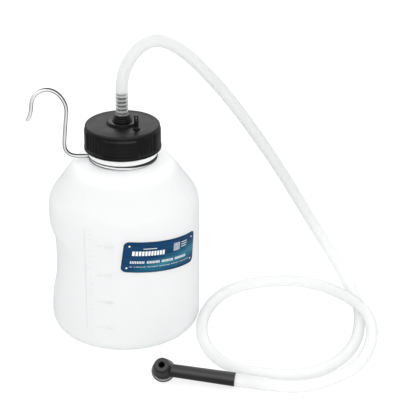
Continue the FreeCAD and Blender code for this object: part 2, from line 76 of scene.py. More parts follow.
# ---------------------------------------------------------------------------
# geometry helpers
# ---------------------------------------------------------------------------
def dress(mesh, mat, sharp=None):
    """Gives a mesh one material and smooth shading, with edges over sharp degrees kept."""
    mesh.materials.clear()
    if mat is not None:
        mesh.materials.append(mat)
    mesh.polygons.foreach_set("use_smooth", [True] * len(mesh.polygons))
    if sharp:
        mesh.set_sharp_from_angle(angle=math.radians(sharp))


def add_mesh(name, shape, mat=None, body=None, sharp=None, uv=None):
    """Object from shape = (vertices in mm, faces); uv holds one pair for each vertex."""
    verts, faces = shape
    mesh = bpy.data.meshes.new(name)
    points = np.asarray(verts, float) * MM
    mesh.from_pydata([tuple(p) for p in points], [], [tuple(int(i) for i in f) for f in faces])
    mesh.validate()
    mesh.update()
    dress(mesh, mat, sharp)
    if uv is not None:
        layer = mesh.uv_layers.new(name="UVMap")
        corner = np.empty(len(mesh.loops), int)
        mesh.loops.foreach_get("vertex_index", corner)
        layer.data.foreach_set("uv", np.asarray(uv, float)[corner].ravel())
    obj = bpy.data.objects.new(name, mesh)
    SCENE.collection.objects.link(obj)
    if body:
        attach(obj, body)
    return obj


def bake(obj):
    """Replaces an object's mesh with the result of its modifiers."""
    graph = bpy.context.evaluated_depsgraph_get()
    mesh = bpy.data.meshes.new_from_object(obj.evaluated_get(graph))
    obj.modifiers.clear()
    old = obj.data
    obj.data = mesh
    bpy.data.meshes.remove(old)


def combine(obj, tool, operation="DIFFERENCE"):
    """Cuts obj with tool, or joins the two, and removes the tool."""
    boolean = obj.modifiers.new("boolean", "BOOLEAN")
    boolean.operation = operation
    boolean.solver = "EXACT"
    boolean.object = tool
    bake(obj)
    bpy.data.objects.remove(tool)


def skin(rows, around=True, ends=True, loop=False):
    """Quads over a grid of points: around closes each row, loop joins the last row to the
    first, and ends closes the first and last rows with a face."""
    rows = np.asarray(rows, float)
    n, m = rows.shape[:2]
    faces = []
    for j in range(n if loop else n - 1):
        low = j * m
        high = (j + 1) % n * m
        for i in range(m if around else m - 1):
            k = (i + 1) % m
            faces.append((low + i, low + k, high + k, high + i))
    if ends and not loop:
        faces.append(tuple(range(m))[::-1])
        faces.append(tuple(range((n - 1) * m, n * m)))
    return rows.reshape(-1, 3), faces


def merge(shapes):
    """Joins several (vertices, faces) shapes into one."""
    verts, faces, first = [], [], 0
    for part_verts, part_faces in shapes:
        verts.append(np.asarray(part_verts))
        faces += [tuple(i + first for i in face) for face in part_faces]
        first += len(part_verts)
    return np.concatenate(verts), faces


def rounded(points, seg, step):
    """Open outline from (r, z[, corner radius]): seg pieces to a quarter turn of corner, and
    no piece longer than step."""
    outline = []
    for i, point in enumerate(points):
        corner = np.array(point[:2])
        radius = point[2] if len(point) > 2 else 0.0
        if radius <= 0 or i in (0, len(points) - 1):
            outline.append(corner)
            continue
        back = np.array(points[i - 1][:2]) - corner
        ahead = np.array(points[i + 1][:2]) - corner
        back /= np.linalg.norm(back)
        ahead /= np.linalg.norm(ahead)
        half = math.acos(max(-1, min(1, float(back @ ahead)))) / 2
        trim = radius / math.tan(half)
        middle = (back + ahead) / np.linalg.norm(back + ahead)
        centre = corner + middle * radius / math.sin(half)
        start = math.atan2(*(corner + back * trim - centre)[::-1])
        stop = math.atan2(*(corner + ahead * trim - centre)[::-1])
        sweep = (stop - start + math.pi) % (2 * math.pi) - math.pi
        n = max(2, int(math.ceil(abs(sweep) / (math.pi / 2) * seg)))
        for k in range(n + 1):
            angle = start + sweep * k / n
            outline.append(centre + radius * np.array([math.cos(angle), math.sin(angle)]))
    fine = [outline[0]]
    for a, b in zip(outline[:-1], outline[1:]):
        n = max(1, int(math.ceil(np.linalg.norm(b - a) / step)))
        for k in range(1, n + 1):
            fine.append(a + (b - a) * k / n)
    return np.array(fine)


def turn(count):
    """Angles of count points evenly round a full turn."""
    return np.linspace(0, 2 * math.pi, count, endpoint=False)


def rings(radius, z):
    """Rows of points round the z axis, from radius[row, azimuth] and the height of each row."""
    count = radius.shape[1]
    angle = turn(count)
    heights = np.repeat(z[:, None], count, 1)
    return np.stack([radius * np.cos(angle), radius * np.sin(angle), heights], 2)


def revolve(profile, count):
    return rings(np.repeat(profile[:, :1], count, 1), profile[:, 1])


def place(rows, axis, origin):
    """Moves rows so that their z axis lies along axis, from origin."""
    z = axis / np.linalg.norm(axis)
    x = np.array((1, 0, 0) if abs(z[0]) < 0.9 else (0, 1, 0), float)
    x = x - z * (x @ z)
    x /= np.linalg.norm(x)
    return rows @ np.stack([x, np.cross(z, x), z]) + origin


def spline(points, start, end, count):
    """count samples of the cubic spline through points, with start and end as its tangents
    and chord length as its parameter."""
    p = np.asarray(points, float)
    n = len(p)
    gap = np.linalg.norm(np.diff(p, axis=0), axis=1)
    knots = np.concatenate([[0], np.cumsum(gap)])
    matrix = np.zeros((n, n))
    right = np.zeros((n, 3))
    matrix[0, 0] = matrix[-1, -1] = 1
    right[0], right[-1] = start, end
    for i in range(1, n - 1):
        before, after = gap[i - 1], gap[i]
        matrix[i, i - 1], matrix[i, i], matrix[i, i + 1] = after, 2 * (after + before), before
        right[i] = 3 * (before / after * (p[i + 1] - p[i]) + after / before * (p[i] - p[i - 1]))
    slope = np.linalg.solve(matrix, right)
    u = np.linspace(0, knots[-1], count)
    i = np.clip(np.searchsorted(knots, u, side="right") - 1, 0, n - 2)
    h = gap[i][:, None]
    t = (u - knots[i])[:, None] / h
    return ((2 * t ** 3 - 3 * t ** 2 + 1) * p[i] + (t ** 3 - 2 * t ** 2 + t) * h * slope[i]
            + (-2 * t ** 3 + 3 * t ** 2) * p[i + 1] + (t ** 3 - t ** 2) * h * slope[i + 1])


def sweep_rows(path, radius, count, side):
    """Rings of points round a path, in a frame that starts at side and doesn't twist."""
    path = np.asarray(path, float)
    radius = np.broadcast_to(radius, (len(path),))
    along = np.gradient(path, axis=0)
    along /= np.linalg.norm(along, axis=1)[:, None]
    x = np.array(side, float)
    x = x - along[0] * (x @ along[0])
    x /= np.linalg.norm(x)
    angle = turn(count)[:, None]
    rows = []
    for k in range(len(path)):
        x = x - along[k] * (x @ along[k])
        x /= np.linalg.norm(x)
        y = np.cross(along[k], x)
        rows.append(path[k] + radius[k] * (np.cos(angle) * x + np.sin(angle) * y))
    return np.array(rows)


def smooth_min(a, b, blend):
    h = np.clip(0.5 + 0.5 * (b - a) / blend, 0, 1)
    return b * (1 - h) + a * h - blend * h * (1 - h)


def smooth(x, start, stop):
    """Eased step from 0 at start to 1 at stop."""
    t = np.clip((x - start) / (stop - start), 0, 1)
    return t * t * (3 - 2 * t)


def thread(name, wall_r, start_z, turns, count, outward, mat, body):
    """Screw thread on a wall; outward is 1 for a thread that stands out and -1 for one in."""
    sunk, depth = 0.2, 1.5
    t = np.linspace(0, 1, count)
    angle = 2 * math.pi * turns * t
    z = start_z + THREAD_PITCH * turns * t
    fade = np.minimum(1, np.minimum(t, 1 - t) / 0.03)
    root = wall_r - outward * sunk
    crest = root + outward * depth * fade
    section = [(root, -1.0), (crest, -0.5), (crest, 0.5), (root, 1.0)]
    rows = np.stack([np.stack([r * np.cos(angle), r * np.sin(angle), z + outward * rise], 1)
                     for r, rise in section], 1)
    add_mesh(name, skin(rows), mat, body, sharp=40)


# ---------------------------------------------------------------------------
# materials
# ---------------------------------------------------------------------------
class Tree:
    """Builds the node tree of a material or world."""

    def __init__(self, block, output="OutputMaterial"):
        self.block = block
        block.use_nodes = True
        self.tree = block.node_tree
        self.tree.nodes.clear()
        self.output = self.node(output)

    def node(self, kind, inputs=None, **settings):
        node = self.tree.nodes.new("ShaderNode" + kind)
        for key, value in settings.items():
            setattr(node, key, value)
        for key, value in (inputs or {}).items():
            self.feed(node.inputs[key], value)
        return node

    def feed(self, socket, value):
        """Links a node or output into a socket, or sets the socket to a plain value."""
        if isinstance(value, bpy.types.Node):
            value = value.outputs[0]
        if isinstance(value, bpy.types.NodeSocket):
            self.tree.links.new(value, socket)
        elif socket.type == "RGBA":
            socket.default_value = (*value, 1)
        else:
            socket.default_value = value

    def math(self, op, *values, clamp=False):
        inputs = dict(enumerate(values))
        return self.node("Math", inputs, operation=op, use_clamp=clamp).outputs[0]

    def vector(self, op, *values):
        return self.node("VectorMath", dict(enumerate(values)), operation=op)

    def scaled(self, x, gain, offset=None):
        product = self.math("MULTIPLY", x, gain)
        return product if offset is None else self.math("ADD", product, offset)

    def above(self, x, threshold):
        """How far x is over the threshold, or 0."""
        return self.math("SUBTRACT", x, threshold, clamp=True)

    def falloff(self, distance, gain):
        """1 at no distance, down to 0 at 1 / gain either side."""
        drop = self.math("MULTIPLY", self.math("ABSOLUTE", distance), gain)
        return self.math("SUBTRACT", 1.0, drop, clamp=True)

    def smooth_range(self, x, start, stop, top=1.0):
        """Eased step from 0 at start to top at stop."""
        inputs = {"Value": x, "From Min": start, "From Max": stop, "To Max": top}
        return self.node("MapRange", inputs, interpolation_type="SMOOTHSTEP").outputs[0]

    def ramp(self, x, stops):
        """Colour ramp from (position, colour) stops."""
        node = self.node("ValToRGB", {0: x})
        elements = node.color_ramp.elements
        while len(elements) < len(stops):
            elements.new(0.5)
        for element, (position, color) in zip(elements, stops):
            element.position = position
            element.color = (*color, 1)
        return node.outputs[0]

    def tones(self, x, base, *stops):
        """Ramp between shades of base, from (position, brightness) stops."""
        return self.ramp(x, [(position, tint(base, gain)) for position, gain in stops])

    def mix(self, amount, a, b):
        return self.node("Mix", {0: amount, 6: a, 7: b}, data_type="RGBA").outputs[2]

    def mix_shader(self, amount, a, b):
        return self.node("MixShader", {0: amount, 1: a, 2: b})

    def mapping(self, source, scale, **inputs):
        return self.node("Mapping", {"Vector": source, "Scale": scale, **inputs}).outputs[0]

    def coords(self, scale=(1, 1, 1)):
        return self.mapping(self.node("TexCoord").outputs["Object"], scale)

    def xyz(self, source):
        return self.node("SeparateXYZ", {0: source}).outputs

    def noise(self, source, scale, detail, rough):
        return self.node("TexNoise", {"Scale": scale, "Detail": detail, "Roughness": rough,
                                      "Vector": source}).outputs["Fac"]

    def bump(self, height, strength, distance, normal=None):
        inputs = {"Strength": strength, "Distance": distance, "Height": height}
        if normal is not None:
            inputs["Normal"] = normal
        return self.node("Bump", inputs).outputs[0]

    def facing(self):
        return self.node("LayerWeight").outputs["Facing"]

    def principled(self, **inputs):
        return self.node("BsdfPrincipled", {k.replace("_", " "): v for k, v in inputs.items()})

    def finish(self, shader):
        self.feed(self.output.inputs[0], shader)
        return self.block


def new_material(name):
    return Tree(bpy.data.materials.new(name))


def tint(color, gain):
    return tuple(c * gain for c in color)


def grey(level):
    return (level,) * 3


def black_plastic(name, base, rough, grain=2500.0, spec=0.28):
    m = new_material(name)
    v = m.coords()
    fine = m.noise(v, scale=grain, detail=3, rough=0.6)
    broad = m.noise(v, scale=90, detail=4, rough=0.55)
    normal = m.bump(fine, strength=0.35, distance=0.00003)
    normal = m.bump(broad, strength=0.12, distance=0.00012, normal=normal)
    return m.finish(m.principled(
        Base_Color=m.tones(broad, base, (0.3, 0.8), (0.75, 1.35)),
        Roughness=m.scaled(broad, gain=0.22, offset=rough - 0.11),
        Normal=normal, Specular_IOR_Level=spec))


def painted_highlight_ring(m, v, origin, axis):
    """Broken ring of painted highlight round an axis: 1 in its patches, 0 away from it."""
    ring_r, ring_depth = 9.05, 2.2            # mm from the axis and below the origin
    offset = m.vector("SUBTRACT", v, tuple(origin * MM))
    along = m.vector("DOT_PRODUCT", offset, tuple(axis)).outputs["Value"]
    along = m.scaled(along, gain=1000.0)
    distance = m.scaled(m.vector("LENGTH", offset).outputs["Value"], gain=1000.0)
    across = m.math("SQRT", m.math("SUBTRACT", m.math("POWER", distance, 2.0),
                                   m.math("POWER", m.math("ABSOLUTE", along), 2.0)))
    on_radius = m.falloff(m.math("SUBTRACT", across, ring_r), gain=1.45)
    on_level = m.falloff(m.math("ADD", along, ring_depth), gain=1.6)
    cloud = m.above(m.noise(v, scale=75, detail=2, rough=0.5), threshold=0.33)
    patch = m.math("MULTIPLY", cloud, 5.0, clamp=True)
    return m.math("MULTIPLY", m.math("MULTIPLY", on_radius, on_level), patch, clamp=True)


def rubber(name, base, rough, spec=0.3, ring=None):
    """Dusty rubber; ring is the (origin, axis) of a ring of painted highlight."""
    m = new_material(name)
    v = m.coords()
    fine = m.noise(v, scale=1800, detail=4, rough=0.65)
    broad = m.noise(m.coords(), scale=55, detail=5, rough=0.6)
    dust = m.noise(v, scale=380, detail=6, rough=0.7)
    color = m.tones(broad, base, (0.25, 0.75), (0.8, 1.5))
    color = m.mix(m.scaled(m.above(dust, threshold=0.55), gain=0.5), color, grey(0.03))
    if ring:
        # light grey painted highlight patches on the rim
        color = m.mix(painted_highlight_ring(m, v, *ring), color, grey(0.52))
    normal = m.bump(fine, strength=0.4, distance=0.00004)
    normal = m.bump(broad, strength=0.25, distance=0.00035, normal=normal)
    return m.finish(m.principled(
        Base_Color=color, Roughness=m.scaled(broad, gain=0.25, offset=rough - 0.12),
        Normal=normal, Specular_IOR_Level=spec))


def hdpe(name, tone=1.0):
    """Natural white plastic that lets some light through; tone is its brightness."""
    m = new_material(name)
    v = m.coords()
    cloud = m.noise(v, scale=28, detail=4, rough=0.55)
    fine = m.noise(v, scale=900, detail=3, rough=0.6)
    streak = m.noise(m.coords((1, 1, 0.12)), scale=120, detail=3, rough=0.5)
    face = m.facing()
    # painted shade: the colour darkens towards the silhouette
    painted_edge_shade = [(0.0, (0.95, 0.955, 0.955)), (0.60, (0.92, 0.926, 0.927)),
                (0.84, (0.87, 0.88, 0.883)), (1.0, (0.60, 0.612, 0.62))]
    color = m.ramp(face, [(position, tint(shade, tone)) for position, shade in painted_edge_shade])
    color = m.mix(m.scaled(cloud, gain=0.10), color, (0.80, 0.81, 0.815))
    normal = m.bump(fine, strength=0.25, distance=0.00003)
    normal = m.bump(streak, strength=0.15, distance=0.0001, normal=normal)
    # painted light: the neck glows a little, which lifts it out of the shade under the cap
    painted_neck_light = m.smooth_range(m.xyz(v)[2], start=0.146, stop=0.162, top=0.24)
    solid = m.principled(
        Base_Color=color, Roughness=m.scaled(cloud, gain=0.16, offset=0.30), Normal=normal,
        IOR=1.54, Subsurface_Weight=0.35, Subsurface_Scale=0.006,
        Subsurface_Radius=(1.0, 1.0, 1.0), Specular_IOR_Level=0.35,
        Emission_Color=grey(1.0), Emission_Strength=painted_neck_light)
    milky = m.node("BsdfTranslucent", {"Color": (0.93, 0.94, 0.945)})
    clear = m.node("BsdfTransparent", {"Color": (0.97, 0.975, 0.975)})
    wall_share, clear_share = 0.35, 0.26      # translucent part, see-through part face on
    see_through = m.scaled(m.math("SUBTRACT", 1.0, face), gain=clear_share)
    return m.finish(m.mix_shader(see_through, m.mix_shader(wall_share, solid, milky), clear))


def silicone(name, clear, hose=False):
    """Milky clear tube: see-through face on, with painted shade making it greyer where the wall
    is seen edge on.
    """
    m = new_material(name)
    edge, body = (0.56, 0.575, 0.58), (0.955, 0.958, 0.958)
    v = m.coords()
    cloud = m.noise(v, scale=45, detail=3, rough=0.5)
    fine = m.noise(v, scale=1500, detail=2, rough=0.5)
    face = m.facing()
    between = tuple(0.35 * a + 0.65 * b for a, b in zip(edge, body))
    color = m.ramp(face, [(0.0, body), (0.55, tint(body, 0.985)), (0.80, between), (1.0, edge)])
    if hose:
        x, y, z = m.xyz(v)
        # higher up, the hose is drawn darker and less see-through than on the floor
        high = m.smooth_range(z, start=0.015, stop=0.110, top=0.095)
        color = m.mix(high, color, (0.22, 0.23, 0.235))
        clear = m.math("SUBTRACT", clear, m.scaled(high, gain=1.2))
        # stretched over the fitting's barbs the wall is thin, clears and shows them
        barb_z, barb_pitch, axis_reach = 0.1990, 0.0034, 0.012
        from_axis = m.math("ADD", m.math("ABSOLUTE", x), m.math("ABSOLUTE", y))
        on_axis = m.math("LESS_THAN", from_axis, axis_reach)
        barbed = m.math("MULTIPLY", m.smooth_range(z, start=0.2205, stop=0.2140), on_axis)
        phase = m.scaled(m.math("SUBTRACT", z, barb_z), gain=2 * math.pi / barb_pitch)
        wave = m.math("SINE", phase)
        dark = m.math("MULTIPLY", barbed, m.scaled(wave, gain=0.26, offset=0.34))
        color = m.mix(dark, color, (0.16, 0.165, 0.17))
        thin = m.math("MULTIPLY", barbed, m.scaled(wave, gain=0.26, offset=0.36))
        clear = m.math("ADD", thin, clear)
    solid = m.principled(
        Base_Color=color, Roughness=m.scaled(cloud, gain=0.14, offset=0.22),
        Normal=m.bump(fine, strength=0.12, distance=0.00002),
        IOR=1.41, Specular_IOR_Level=0.35)
    milky = m.node("BsdfTranslucent", {"Color": color})
    glass = m.node("BsdfTransparent", {"Color": (0.985, 0.988, 0.988)})
    edge_power, milky_share = 2.2, 0.45       # how fast edges close up, translucent part
    face_on = m.math("SUBTRACT", 1.0, m.math("POWER", face, edge_power))
    see_through = m.math("SUBTRACT", m.math("MULTIPLY", face_on, clear),
                         m.scaled(cloud, gain=0.05), clamp=True)
    return m.finish(m.mix_shader(see_through, m.mix_shader(milky_share, solid, milky), glass))


def bright_wire(name):
    """Plated wire with painted reflections: a bright painted highlight on the body and a painted
    dark reflection along its upper right side.
    """
    m = new_material(name)
    v = m.coords()
    fine = m.noise(v, scale=1400, detail=3, rough=0.6)
    spots = m.noise(v, scale=130, detail=4, rough=0.6)
    seen = m.node("VectorTransform", {0: m.node("NewGeometry").outputs["Normal"]},
                  vector_type="VECTOR", convert_from="WORLD", convert_to="CAMERA")
    upper_right = (0.64, 0.77, 0.0)           # in the camera's x, y, z
    toward = m.vector("DOT_PRODUCT", seen, upper_right).outputs["Value"]
    ripple = m.scaled(m.math("SUBTRACT", spots, 0.5), gain=0.10)
    toward = m.math("ADD", m.scaled(toward, gain=0.5, offset=0.5), ripple, clamp=True)
    color = m.ramp(toward, [
        (0.0, (0.05, 0.051, 0.053)), (0.10, (0.10, 0.102, 0.105)), (0.20, (0.34, 0.345, 0.35)),
        (0.30, (0.70, 0.705, 0.71)), (0.47, (0.83, 0.835, 0.84)), (0.56, (0.42, 0.425, 0.43)),
        (0.64, (0.055, 0.056, 0.058)), (0.92, (0.020, 0.020, 0.021)),
        (1.0, (0.13, 0.132, 0.135))])
    # painted shade darkens the wire towards its outline
    outline = m.smooth_range(m.facing(), start=0.26, stop=0.66, top=0.86)
    color = m.mix(outline, color, (0.085, 0.087, 0.09))
    glossy = m.node("BsdfAnisotropic", {
        "Color": color, "Roughness": m.scaled(spots, gain=0.14, offset=0.12),
        "Normal": m.bump(fine, strength=0.15, distance=0.00002)})
    diffuse = m.node("BsdfDiffuse", {"Color": color})
    glossy_share = 0.30
    return m.finish(m.mix_shader(glossy_share, diffuse, glossy))


def steel(name, base, rough):
    m = new_material(name)
    n = m.noise(m.coords(), scale=900, detail=3, rough=0.6)
    return m.finish(m.principled(
        Base_Color=m.tones(n, base, (0.3, 0.8), (0.7, 1.0)), Metallic=1.0,
        Roughness=m.scaled(n, gain=0.2, offset=rough - 0.1),
        Normal=m.bump(n, strength=0.1, distance=0.00002)))


def pale_plastic(name, base, rough=0.4):
    m = new_material(name)
    v = m.coords()
    broad = m.noise(v, scale=300, detail=4, rough=0.6)
    fine = m.noise(v, scale=1800, detail=2, rough=0.5)
    return m.finish(m.principled(
        Base_Color=m.tones(broad, base, (0.3, 0.93), (0.7, 1.0)),
        Roughness=m.scaled(broad, gain=0.2, offset=rough - 0.1),
        Subsurface_Weight=0.15, Subsurface_Scale=0.002,
        Normal=m.bump(fine, strength=0.25, distance=0.00003)))


def label_print(name):
    """Navy print with a lighter diagonal glow, fine streaks and a dark border."""
    m = new_material(name)
    uv = m.node("UVMap", uv_map="UVMap").outputs[0]
    across, up, _ = m.xyz(uv)                 # 0 to 1 over the label
    streak = m.noise(m.mapping(uv, (2.2, 30.0, 1), Rotation=(0, 0, math.radians(6))),
                     scale=1.0, detail=4, rough=0.6)
    cloud = m.noise(m.mapping(uv, (2.5, 1.2, 1)), scale=1.6, detail=3, rough=0.5)
    # glow along a line that climbs to the right, faint at the left end
    off_line = m.math("SUBTRACT", up, m.scaled(across, gain=0.45, offset=0.02))
    along = m.ramp(across, [(0.1, grey(0.1)), (0.45, grey(1)), (1.0, grey(0.75))])
    cloud_floor = 0.15
    strength = m.math("MULTIPLY", m.math("ADD", cloud, cloud_floor), along)
    glow = m.math("MULTIPLY", m.falloff(off_line, gain=3.2), strength)
    color = m.mix(m.scaled(cloud, gain=0.8), (0.0020, 0.020, 0.072), (0.004, 0.050, 0.130))
    color = m.mix(m.math("MULTIPLY", glow, 1.0, clamp=True), color, (0.02, 0.16, 0.23))
    lines = m.ramp(streak, [(0.47, grey(0)), (0.60, grey(1))])
    glow_lines = m.scaled(m.math("MULTIPLY", lines, glow), gain=0.9)
    color = m.mix(glow_lines, color, (0.06, 0.34, 0.40))
    color = m.mix(m.scaled(lines, gain=0.22), color, (0.02, 0.12, 0.22))
    # border, from the distance in mm to the nearest edge
    side = m.math("MINIMUM", across, m.math("SUBTRACT", 1.0, across))
    end = m.math("MINIMUM", up, m.math("SUBTRACT", 1.0, up))
    inset = m.math("MINIMUM", m.scaled(side, gain=LABEL_W), m.scaled(end, gain=LABEL_H))
    border = m.math("SUBTRACT", 1.0, m.scaled(inset, gain=1.1), clamp=True)
    color = m.mix(m.scaled(border, gain=0.85), color, (0.004, 0.014, 0.028))
    fine = m.noise(m.coords(), scale=2500, detail=2, rough=0.5)
    return m.finish(m.principled(
        Base_Color=color, Roughness=m.scaled(fine, gain=0.15, offset=0.28),
        Specular_IOR_Level=0.12, Normal=m.bump(fine, strength=0.1, distance=0.00002)))


def ink(name, base):
    m = new_material(name)
    n = m.noise(m.coords(), scale=1500, detail=3, rough=0.6)
    return m.finish(m.principled(
        Base_Color=m.tones(n, base, (0.25, 0.8), (0.7, 1.0)),
        Roughness=m.scaled(n, gain=0.15, offset=0.35)))


M_HDPE = hdpe("hdpe_natural")
# the raised marks are the bottle's plastic painted darker, as shade on the relief
M_MARK_PAINTED_SHADE = hdpe("hdpe_raised_marks_painted_shade", tone=0.86)
M_CAP = black_plastic("cap_polypropylene", base=(0.0028, 0.0028, 0.003), rough=0.36)
M_NYLON = black_plastic("black_nylon", base=(0.002, 0.002, 0.0021), rough=0.24, grain=1800,
                        spec=0.3)
M_SEAL = rubber("seal_rubber", base=grey(0.006), rough=0.55)
M_RUBBER = rubber("adapter_rubber", base=(0.0065, 0.0065, 0.0068), rough=0.33, spec=0.62,
                  ring=(ADP_HEAD, CUP_AXIS))
M_HOSE = silicone("silicone_hose", clear=0.42, hose=True)
M_DIP = silicone("dip_tube_clear", clear=0.7)
M_WIRE = bright_wire("plated_wire")
M_STEEL = steel("stainless", base=(0.62, 0.62, 0.63), rough=0.25)
M_BALL = steel("polished_ball", base=(0.75, 0.75, 0.76), rough=0.12)
M_COUPLER = pale_plastic("coupler_nylon", base=(0.86, 0.86, 0.85))
M_FOAM = pale_plastic("liner_foam", base=(0.82, 0.82, 0.80), rough=0.6)
M_LABEL = label_print("label_print")
M_INK_WHITE = ink("label_white_ink", base=(0.80, 0.84, 0.86))
M_INK_GREY = ink("label_grey_ink", base=(0.36, 0.42, 0.48))
M_INK_TEAL = ink("label_pale_teal_ink", base=(0.14, 0.24, 0.33))

# CAD pieces that stay as they are and only take a material
for mat, nodes in (
        (M_NYLON, ("barb_fitting", "lock_nut", "valve_retainer", "vent_nipple", "vent_nut")),
        (M_SEAL, ("fitting_seal", "nut_washer", "vent_seal")),
        (M_BALL, ("valve_ball",)), (M_DIP, ("dip_tube",)),
        (M_COUPLER, ("hose_coupler",)), (M_FOAM, ("cap_liner",))):
    for node in nodes:
        dress(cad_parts[node].data, mat, sharp=32)

# ---------------------------------------------------------------------------
# bottle
# ---------------------------------------------------------------------------
BASE_RISE = 3.0                   # the middle of the base stands this far off the floor
FOOT_Z = 0.02
SCOOP_DIR, SCOOP_SHIFT = math.radians(160.0), 7.53
# the scoop's wall: radius round an axis shifted away from it by SCOOP_SHIFT, and height
SCOOP = np.array([(73.6, 14.0), (72.7, 19.0), (70.8, 34.0), (68.4, 46.0), (66.9, 59.0),
                  (66.8, 74.0), (67.3, 88.0), (68.4, 94.0), (70.8, 99.0), (72.6, 104.0),
                  (73.8, 108.0)])
scoop_wall = spline(np.c_[SCOOP[:, 0], np.zeros(len(SCOOP)), SCOOP[:, 1]],
                    (-0.2, 0, 1.0), (0.25, 0, 1.0), 400)

# (r, z, corner radius): outside from the base up to the neck, inside back down
outer = rounded([
    (POLE_R, BASE_RISE), (41.0, BASE_RISE, 5.0), (46.5, FOOT_Z, 2.5), (BODY_R, FOOT_Z, 14.4),
    (BODY_R, 123.9, 24.0), (42.3, 156.0, 8.0), (26.4, 158.2, 0.9), (26.4, 162.2, 0.4),
    (29.6, 162.2, 1.0), (29.6, 166.6, 1.0), (NECK_R, 167.2, 0.6), (NECK_R, NECK_TOP_Z, 0.8),
    (26.4, NECK_TOP_Z)], seg=10, step=1.6)
inner = rounded([
    (26.4, NECK_TOP_Z), (NECK_BORE_R, NECK_TOP_Z, 0.5), (NECK_BORE_R, 156.84, 3.0),
    (41.14, 154.17, 6.0), (BODY_R - WALL, 123.26, 22.0), (BODY_R - WALL, WALL, 12.4),
    (45.9, WALL, 2.5), (40.4, BASE_RISE + WALL, 5.0), (POLE_R, BASE_RISE + WALL)],
    seg=10, step=1.8)


def scooped(profile, inset):
    """Revolved profile with the scoop let into one side, moved in by inset."""
    columns, blend = 300, 1.6
    clear_of_body = 95                # cutter radius above and below the scoop
    z = profile[:, 1]
    cutter = np.interp(z, scoop_wall[:, 2], scoop_wall[:, 0],
                       left=clear_of_body, right=clear_of_body) - inset
    bearing = turn(columns) - SCOOP_DIR
    reach = -SCOOP_SHIFT * np.cos(bearing)[None] + np.sqrt(
        np.maximum(cutter[:, None] ** 2 - (SCOOP_SHIFT * np.sin(bearing)[None]) ** 2, 1))
    radius = np.repeat(profile[:, :1], columns, 1)
    on_side = (radius > 20) & (z < 125)[:, None]
    return rings(np.where(on_side, smooth_min(radius, reach, blend), radius), z)


rows = np.concatenate([scooped(outer, 0.0), scooped(inner[1:], WALL)])
bottle = add_mesh("bottle_blown", skin(rows), M_HDPE, "bottle", sharp=50)
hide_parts("bottle")
thread("neck_thread", wall_r=NECK_R, start_z=171.6, turns=1.75, count=150, outward=1,
       mat=M_HDPE, body="bottle")

# ---------------------------------------------------------------------------
# raised scale on the bottle; azimuths are in degrees from the front, + to the right
# ---------------------------------------------------------------------------
FRONT = 270
LEVELS = {"250": 27.0, "500": 51.7, "750": 76.6, "1000": 104.2}     # number and height


def wall_point(radius, azimuth, z):
    """Points at an azimuth; a number or array for each argument."""
    angle = np.radians(FRONT + azimuth)
    return np.stack(np.broadcast_arrays(radius * np.cos(angle), radius * np.sin(angle), z), 1)


def pillow_bar(left, right, z, half, height):
    """Low level bar on the body, between two azimuths."""
    count = int(abs(right - left) / 1.2) + 2
    edge = 0.15
    heights = np.array([z - half, z - half + edge, z, z + half - edge, z + half])
    rise = np.array([-0.3, 0.75, 1.0, 0.75, -0.3]) * height
    rows = []
    for k, azimuth in enumerate(np.linspace(left, right, count)):
        out = np.minimum(rise, 0) if k in (0, count - 1) else rise
        rows.append(wall_point(BODY_R + out, azimuth, heights))
    return skin(np.array(rows), around=False, ends=False)


def upright_line(stations, azimuth, spread, rise):
    """Ridge up the wall through (r, z) stations; spread and rise give its section in degrees
    and mm."""
    rows = [wall_point(r + np.array(rise), azimuth + np.array(spread), z) for r, z in stations]
    return skin(np.array(rows), around=False)


level_z = list(LEVELS.values())
marks = [pillow_bar(-19.5, -14.5, z, half=0.45, height=0.28) for z in level_z]
# four short ticks between each two levels
for low, high in zip([10.5] + level_z, level_z + [128.0]):
    for k in range(1, 5):
        z = low + (high - low) * k / 5
        if 16 < z < 120:
            marks.append(pillow_bar(-25.6, -23.0, z, half=0.3, height=0.2))
marks.append(upright_line([(BODY_R, z) for z in np.linspace(23.5, 117.0, 60)], -28.5,
                          spread=(-0.42, -0.2, 0, 0.2, 0.42),
                          rise=(-0.25, 0.16, 0.24, 0.16, -0.25)))
# mould parting line up the right side
marks.append(upright_line([(r, z) for r, z in outer if 4 < z < 150 and r > 43], 68.0,
                          spread=(-0.22, 0, 0.22), rise=(-0.15, 0.10, -0.15)))
add_mesh("moulded_scale", merge(marks), M_MARK_PAINTED_SHADE, "bottle", sharp=60)


def flat_text(text, size):
    """Flat bmesh of a text string."""
    curve = bpy.data.curves.new("number", "FONT")
    curve.body = text
    curve.size = size
    curve.resolution_u = 3
    obj = bpy.data.objects.new("number", curve)
    SCENE.collection.objects.link(obj)
    bpy.context.view_layer.update()
    graph = bpy.context.evaluated_depsgraph_get()
    mesh = bpy.data.meshes.new_from_object(obj.evaluated_get(graph))
    bpy.data.objects.remove(obj)
    bm = bmesh.new()
    bm.from_mesh(mesh)
    bpy.data.meshes.remove(mesh)
    return bm


def flat_polygon(points):
    bm = bmesh.new()
    bm.faces.new([bm.verts.new((x, y, 0)) for x, y in points])
    return bm


def wrapped(bm, thick, bend):
    """Cuts a flat bmesh into upright strips, thickens it and maps it with bend(x, y, h)."""
    strip = 1.5
    xs = [vert.co.x for vert in bm.verts]
    x = math.floor(min(xs) / strip) * strip
    while x < max(xs):
        bmesh.ops.bisect_plane(bm, geom=bm.verts[:] + bm.edges[:] + bm.faces[:],
                               plane_co=(x, 0, 0), plane_no=(1, 0, 0))
        x += strip
    bmesh.ops.remove_doubles(bm, verts=bm.verts[:], dist=1e-4)
    raised = bmesh.ops.extrude_face_region(bm, geom=bm.faces[:])
    for item in raised["geom"]:
        if isinstance(item, bmesh.types.BMVert):
            item.co.z += thick
    bmesh.ops.recalc_face_normals(bm, faces=bm.faces[:])
    bm.verts.ensure_lookup_table()
    verts = [bend(*vert.co) for vert in bm.verts]
    bm.verts.index_update()
    faces = [[vert.index for vert in face.verts] for face in bm.faces]
    bm.free()
    return np.array(verts), faces


